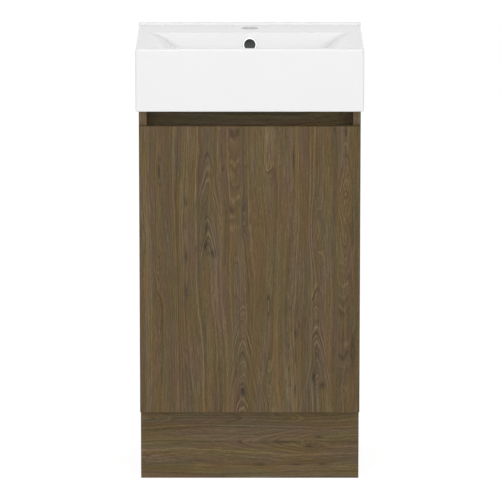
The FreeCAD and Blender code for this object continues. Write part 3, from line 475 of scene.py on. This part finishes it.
# Cabinet: two upright side panels with a floor, a grip rail and two back rails between them.
# Walnut-effect chipboard, edge-banded where an edge shows and raw elsewhere and in the drilled holes;
# the grip rail stands back so that fingers reach behind the door.

front_edge = [("Y", "GREATER_THAN", -0.1345)]
upper_rail_foot = [("Z", "GREATER_THAN", 0.6705)]
lower_rail_top = [("Z", "LESS_THAN", 0.2405)]
# Painted light: the banded front edges are lightened and made paler and bluer, for white light reflected on them.
for name, shift in (("left_side_panel", 0.47), ("right_side_panel", 0.83)):
    finish_node(name, walnut_board("walnut_" + name, move=(shift, 0.1, shift), raw=("X", front_edge),
                                   edge_painted_light=(1.28, 1.42, 1.68)))
finish_node("bottom_panel", walnut_board("walnut_floor", level_grain, (0.5, 0.6, 0.1), raw=("Z", front_edge)))
# Painted light: the upper rails are lightened, paler and bluer, for white light bounced into the shadowed grip
# recess.
upper_rail = walnut_board("walnut_upper_rails", level_grain, (0.2, 0.7, 0.4), painted_light_tint=(1.09, 1.17, 1.30),
                          raw=("Y", upper_rail_foot))
for name in ("grip_rail", "upper_back_rail"):
    finish_node(name, upper_rail)
finish_node("lower_back_rail", walnut_board("walnut_lower_rail", level_grain, (0.6, 0.2, 0.9),
                                            raw=("Y", lower_rail_top)))

# Knock-down fittings: die-cast zinc cams and turned bolts that draw the boards together, with fluted
# beech dowels beside them to hold the place; the cams turn in blind holes on faces that don't show.


def smooth_copy(node, material, crease=32.0):
    """A copy of a node with its triangles joined and its curved faces shaded round."""
    shape = bmesh.new()
    shape.from_mesh(frame["nodes"][node].data)
    same_place = 2e-6
    bmesh.ops.remove_doubles(shape, verts=shape.verts, dist=same_place)
    shape.verts.index_update()
    mesh = bpy.data.meshes.new(node + "_finished")
    mesh.from_pydata([v.co for v in shape.verts], [], [[v.index for v in f.verts] for f in shape.faces])
    shape.free()
    mesh.shade_smooth()
    mesh.set_sharp_from_angle(angle=math.radians(crease))
    mesh.materials.append(material)
    piece = bpy.data.objects.new(node + "_finished", mesh)
    bpy.context.scene.collection.objects.link(piece)
    even = piece.modifiers.new("even_shading", "WEIGHTED_NORMAL")
    even.mode = "FACE_AREA_WITH_ANGLE"
    even.keep_sharp = True
    ready = piece.evaluated_get(bpy.context.evaluated_depsgraph_get())
    mesh = bpy.data.meshes.new_from_object(ready)
    piece.modifiers.clear()
    piece.data = mesh
    stand_in(piece, node)


def make_dowels():
    """Fluted dowels at points."""
    tree, given = geometry_tree("dowels", ("Radius", "Length"))
    half = calc(tree, "MULTIPLY", given["Length"], 0.5)
    start = add(tree, "ShaderNodeCombineXYZ", {0: calc(tree, "MULTIPLY", half, -1.0)}).outputs[0]
    end = add(tree, "ShaderNodeCombineXYZ", {0: half}).outputs[0]
    line = add(tree, "GeometryNodeCurvePrimitiveLine", {"Start": start, "End": end}).outputs[0]
    inner = calc(tree, "MULTIPLY", given["Radius"], 0.93)
    flutes = add(tree, "GeometryNodeCurveStar", {"Points": 22, "Inner Radius": inner,
                                                 "Outer Radius": given["Radius"]}).outputs[0]
    peg = add(tree, "GeometryNodeCurveToMesh", {"Curve": line, "Profile Curve": flutes, "Fill Caps": True})
    return put_on_points(tree, given, peg.outputs[0])


for name in ("cam_locks", "cam_bolts"):
    smooth_copy(name, zinc)
dowel_places = [(-0.043, 0.153), (0.073, 0.153), (-0.097, 0.699), (-0.097, 0.741),
                (0.157, 0.699), (0.157, 0.741), (0.157, 0.180), (0.157, 0.222)]
board_end = 0.204
dowels = node_points("dowels_made", [(x, y, z) for x in (-board_end, board_end) for y, z in dowel_places])
settle(dowels, "dowels", make_dowels(), radius=0.004, length=0.03, finish=make_beech("beech_dowels", (14, 260, 260)))

# Shelf: one loose walnut-effect board, banded on every edge, on four turned pins with flat pads.
# The pins are nickel-plated steel and push into rows of holes in the side panels.

finish_node("shelf", walnut_board("walnut_shelf", level_grain, (0.8, 0.3, 0.6)))
nickel = speckled("nickel_plate", linear(190, 187, 180), linear(212, 209, 203), 0.26, 400.0, 1.0)
smooth_copy("shelf_pins", nickel)

# Door: one slab with upright grain over the whole front, banded on all four edges.
# The figure has tall arches, a column of feathered grain and a few small knots, and the printed sheet
# shows it twice; two soft silicone buttons on the back take the knock when it closes.


def printed(marks):
    """Marks on the sheet, each where it is listed and at its repeat, without those that miss the door."""
    repeat_across, repeat_along = 0.2215, -0.275
    door_side, door_foot = 0.24, 0.14
    kept = []
    for across, along, *rest in marks:
        for turn in (0, 1):
            place = (across + turn * repeat_across, along + turn * repeat_along)
            if abs(place[0]) < door_side and place[1] > door_foot:
                kept.append((*place, *rest))
    return kept


door_eyes = printed((
    (-0.184, 0.645, 0.008, 0.040, 0.040, 3.0, 0.0), (-0.012, 0.549, 0.009, 0.045, 0.045, 3.0, 0.0),
    (0.137, 0.521, 0.016, 0.070, 0.070, 5.0, 0.2), (-0.030, 0.466, 0.008, 0.018, 0.018, 3.0, 0.6),
    (-0.183, 0.425, 0.013, 0.160, 0.040, 4.0, 0.0), (0.194, 0.490, 0.014, 0.100, 0.100, 6.0, 0.3),
    (0.195, 0.624, 0.009, 0.018, 0.018, 3.0, 0.0), (0.036, 0.665, 0.013, 0.120, 0.030, 4.0, 0.0)))
door_knots = printed((
    (-0.092, 0.494, 0.0060, 0.014, 1.00), (-0.074, 0.478, 0.0075, 0.010, 1.00),
    (0.193, 0.726, 0.0040, 0.014, 1.00), (-0.088, 0.530, 0.0050, 0.050, 0.60),
    (-0.184, 0.648, 0.0055, 0.030, 0.75), (-0.012, 0.552, 0.0065, 0.042, 0.85),
    (0.088, 0.665, 0.0030, 0.036, 0.80), (-0.0145, 0.190, 0.0060, 0.018, 0.90),
    (-0.129, 0.585, 0.0040, 0.014, 1.00), (-0.130, 0.535, 0.0040, 0.018, 1.00),
    (-0.129, 0.470, 0.0040, 0.016, 1.00), (-0.128, 0.395, 0.0040, 0.022, 1.00)))
door_bows = printed((
    (-0.085, 0.690, 0.210, 0.028, 0.0125, 0.190, 0.56), (-0.0145, 0.365, 0.225, 0.032, 0.0125, 0.190, 0.60),
    (-0.031, 0.728, 0.208, 0.011, 0.0220, -0.014, 0.50), (0.194, 0.715, 0.105, 0.016, 0.0125, 0.110, 0.50),
    (0.193, 0.590, 0.125, 0.017, 0.0125, -0.110, 0.50), (-0.184, 0.470, 0.075, 0.011, 0.0100, -0.080, 0.50),
    (-0.180, 0.215, 0.075, 0.010, 0.0100, 0.080, 0.50), (0.040, 0.230, 0.090, 0.010, 0.0100, -0.080, 0.50)))
door_columns = [(across, half_width, high - length, high, pitch, rise, share)
                for across, high, length, half_width, pitch, rise, share in door_bows]
finish_node("door", walnut_board("walnut_door", eyes=door_eyes, knots=door_knots, columns=door_columns))
smooth_copy("door_bumpers", speckled("clear_silicone", linear(214, 214, 210), linear(226, 226, 223), 0.4))

# Hinges: two concealed hinges on the left, pressed and riveted from steel and nickel-plated.
# The cup lies in the door, two links join it to the arm, and the arm is clamped on a plate that is screwed
# to the side panel; all the screws have cross recesses.

for name in frame["nodes"]:
    if "hinge" in name and "screws" not in name:
        smooth_copy(name, nickel)
hinge_heights = (0.246, 0.638)
cup_screws = node_points("hinge_cup_screws_made", [(-0.1955, -0.1354, z + step) for z in hinge_heights
                                                   for step in (-0.024, 0.024)])
settle(cup_screws, "hinge_cup_screws", screws, head_top=0.0032, head_base=0.0034, head_height=0.0014,
       shank=0.00175, length=0.0122, pitch=0.0013, turn=(-quarter, 0, 0), finish=nickel)
plate_screws = node_points("hinge_plate_screws_made", [(-0.2038, -0.098, z + step) for z in hinge_heights
                                                       for step in (-0.016, 0.016)])
settle(plate_screws, "hinge_plate_screws", screws, head_top=0.0041, head_base=0.0046, head_height=0.0022,
       shank=0.0029, length=0.014, pitch=0.002, turn=(0, quarter, 0), finish=nickel)
clamp_screws = node_points("hinge_clamp_screws_made", [(-0.1938, -0.087, z) for z in hinge_heights])
settle(clamp_screws, "hinge_clamp_screws", screws, head_top=0.0034, head_base=0.0038, head_height=0.0022,
       shank=0.0024, length=0.009, pitch=0.0008, turn=(0, quarter, 0), finish=nickel)

# Basin: one slip-cast ceramic piece with its bowl, tap ledge and overflow channel.
# Glazed white all over but for the foot that it stood on in the kiln and the inside of the channel, which is bare
# clay with painted shade: dark grey for the shadow in the narrow channel; it rests on the cabinet's boards.

glaze, tree, shader = plain_material("white_glaze")
place = add(tree, "ShaderNodeTexCoord").outputs["Object"]
cloud = noise(tree, place, (6, 6, 6), 2.0)
white = blend_colour(tree, cloud, linear(235, 235, 235), linear(237, 237, 237))
x, y, z = add(tree, "ShaderNodeSeparateXYZ", {0: place}).outputs
foot_height = 0.7704
foot = calc(tree, "LESS_THAN", z, foot_height)
lean = math.radians(15.0)
overflow_y, overflow_z = 0.0483, 0.8725
channel_front, channel_back, channel_side, channel_top = 0.0088, 0.0208, 0.0128, 0.8866
depth = calc(tree, "ADD", calc(tree, "MULTIPLY_ADD", y, math.cos(lean), -overflow_y * math.cos(lean)),
             calc(tree, "MULTIPLY_ADD", z, -math.sin(lean), overflow_z * math.sin(lean)))
# Where the overflow channel's inside lies: bare clay with painted shade.
inside = calc(tree, "MULTIPLY", calc(tree, "GREATER_THAN", depth, channel_front),
              calc(tree, "LESS_THAN", depth, channel_back))
inside = calc(tree, "MULTIPLY", inside, calc(tree, "LESS_THAN", calc(tree, "ABSOLUTE", x), channel_side))
inside = calc(tree, "MULTIPLY", inside, calc(tree, "LESS_THAN", z, channel_top))
body = blend_colour(tree, foot, white, linear(226, 219, 206))
# Painted shade: the channel's inside is bare clay, and its dark grey also stands in for the shadow in the channel.
body = blend_colour(tree, inside, body, linear(124, 128, 127))
tree.links.new(body, shader.inputs["Base Color"])
bare = calc(tree, "MAXIMUM", foot, inside)
tree.links.new(calc(tree, "MULTIPLY_ADD", bare, 0.6, 0.1), shader.inputs["Roughness"])
ripple = noise(tree, place, (9, 9, 9), 1.0)
bump = add(tree, "ShaderNodeBump", {"Strength": 0.05, "Distance": 0.001, "Height": ripple})
tree.links.new(bump.outputs[0], shader.inputs["Normal"])
smooth_copy("basin", glaze)

# Overflow ring: a turned brass ring, chromed and polished, that trims the overflow hole in the bowl's
# back wall; its sleeve is pushed into the hole and grips there.

chrome, tree, shader = plain_material("polished_chrome")
place = add(tree, "ShaderNodeTexCoord").outputs["Object"]
shader.inputs["Metallic"].default_value = 1.0
tint = noise(tree, place, (40, 40, 40), 2.0)
tree.links.new(blend_colour(tree, tint, linear(222, 224, 226), linear(232, 233, 234)), shader.inputs["Base Color"])
tree.links.new(calc(tree, "MULTIPLY_ADD", tint, 0.08, 0.05), shader.inputs["Roughness"])
smooth_copy("overflow_ring", chrome)

# Basin waste: a flanged brass tube and a pop-up plug, turned and chromed, with a threaded tail.
# Rubber seals lie above and below the basin's floor, and a plastic back nut draws the waste down on them.


def make_thread():
    """A screw thread round an upright tube that stands on each point."""
    tree, given = geometry_tree("thread", ("Radius", "Height", "Pitch", "Ridge"))
    turns = calc(tree, "DIVIDE", given["Height"], given["Pitch"])
    coil = add(tree, "GeometryNodeCurveSpiral", {"Resolution": 64, "Rotations": turns, "Height": given["Height"],
                                                 "Start Radius": given["Radius"], "End Radius": given["Radius"]})
    ridge = add(tree, "GeometryNodeCurvePrimitiveCircle", {"Resolution": 4, "Radius": given["Ridge"]})
    wound = add(tree, "GeometryNodeCurveToMesh", {"Curve": coil.outputs[0], "Profile Curve": ridge.outputs[0],
                                                  "Fill Caps": True})
    flat = add(tree, "GeometryNodeSetShadeSmooth", {"Geometry": wound.outputs[0], "Shade Smooth": False})
    return put_on_points(tree, given, flat.outputs[0])


smooth_copy("waste_body", chrome)
waste_y, tail_radius, thread_pitch = -0.045, 0.0196, 0.0023
plain_foot, clear_of_nut, thread_ridge = 0.003, 0.0055, 0.0008
tail_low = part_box("waste_body")[0][2] + plain_foot
thread_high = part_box("waste_backnut")[0][2] - clear_of_nut
waste_thread = node_points("waste_thread_made", [(0.0, waste_y, tail_low)])
grow(waste_thread, make_thread(), radius=tail_radius, height=thread_high - tail_low, pitch=thread_pitch,
     ridge=thread_ridge, finish=chrome)
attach(waste_thread, frame["nodes"]["waste_body"]["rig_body"])
smooth_copy("waste_plug", chrome)
rubber = speckled("black_rubber", linear(30, 30, 31), linear(46, 46, 48), 0.7)
for name in ("waste_top_seal", "waste_lower_seal"):
    smooth_copy(name, rubber)
smooth_copy("waste_backnut", speckled("grey_plastic", linear(184, 186, 188), linear(200, 201, 203), 0.5))

# Studio: a white floor that takes a soft shadow, an even white surround, three broad lamps in
# front and one above.


def seen_directly(tree):
    """1 for what the camera sees, itself or in a mirror, and 0 for light that falls on the unit."""
    rays = add(tree, "ShaderNodeLightPath").outputs
    mirrored = calc(tree, "MAXIMUM", rays["Is Glossy Ray"], rays["Is Transmission Ray"])
    return calc(tree, "MAXIMUM", rays["Is Camera Ray"], mirrored)


world = bpy.data.worlds.new("studio")
bpy.context.scene.world = world
world.use_nodes = True
tree = world.node_tree
surround_light, surround_seen = 0.485, 1.0
glow = add(tree, "ShaderNodeMix", {0: seen_directly(tree), 2: surround_light, 3: surround_seen}).outputs[0]
tree.links.new(glow, tree.nodes["Background"].inputs["Strength"])
tree.nodes["Background"].inputs["Color"].default_value = (1, 1, 1, 1)

floor_material, tree, shader = plain_material("white_floor")
floor_grey, shadow_grey, floor_glow = (0.85, 0.85, 0.85, 1), (0.25, 0.25, 0.25, 1), 0.87
paint = add(tree, "ShaderNodeBsdfDiffuse", {"Color": floor_grey})
pale = add(tree, "ShaderNodeBsdfDiffuse", {"Color": shadow_grey})
light = add(tree, "ShaderNodeEmission", {"Color": (1, 1, 1, 1), "Strength": floor_glow})
both = add(tree, "ShaderNodeAddShader", {0: pale.outputs[0], 1: light.outputs[0]})
mixed = add(tree, "ShaderNodeMixShader", {0: seen_directly(tree), 1: paint.outputs[0], 2: both.outputs[0]})
tree.links.new(mixed.outputs[0], tree.nodes["Material Output"].inputs["Surface"])
bpy.ops.mesh.primitive_plane_add(size=40)
floor = bpy.context.object
floor.name = "studio_floor"
floor.data.materials.append(floor_material)

aim_height = 0.6
for name, sides, power, distance, aside, raised in (("left_lamp", (6.0, 8.0), 337.0, 12.5, -38.0, 17.0),
                                                    ("right_lamp", (6.0, 8.0), 337.0, 12.5, 38.0, 17.0),
                                                    ("middle_lamp", (5.0, 5.0), 70.0, 12.5, 0.0, 21.0),
                                                    ("top_lamp", (4.0, 2.4), 78.0, 6.0, 0.0, 60.0)):
    lamp = bpy.data.lights.new(name, "AREA")
    lamp.shape = "RECTANGLE"
    lamp.size, lamp.size_y = sides
    lamp.energy = power
    aside, raised = math.radians(aside), math.radians(raised)
    level = distance * math.cos(raised)
    lamp_object = bpy.data.objects.new(name, lamp)
    height = aim_height + distance * math.sin(raised)
    lamp_object.location = (level * math.sin(aside), -level * math.cos(aside), height)
    lamp_object.rotation_euler = (quarter - raised, 0, aside)
    lamp_object.visible_glossy = aside == 0
    bpy.context.scene.collection.objects.link(lamp_object)

# Camera: well back from the unit and higher than it, looking down a little, as in the photograph.
# A long lens on a full-frame sensor, so that the sides stay nearly upright.

camera = bpy.data.cameras.new("camera")
camera.sensor_width = 36.0
camera.lens = 334.062
camera.shift_x = 0.00046
camera.clip_end = 100.0
camera_object = bpy.data.objects.new("camera", camera)
camera_object.location = (0.0, -9.35749, 2.36302)
looking_down = math.radians(11.537)
camera_object.rotation_euler = (quarter - looking_down, 0, 0)
bpy.context.scene.collection.objects.link(camera_object)
bpy.context.scene.camera = camera_object
bpy.context.scene.view_settings.view_transform = "Standard"
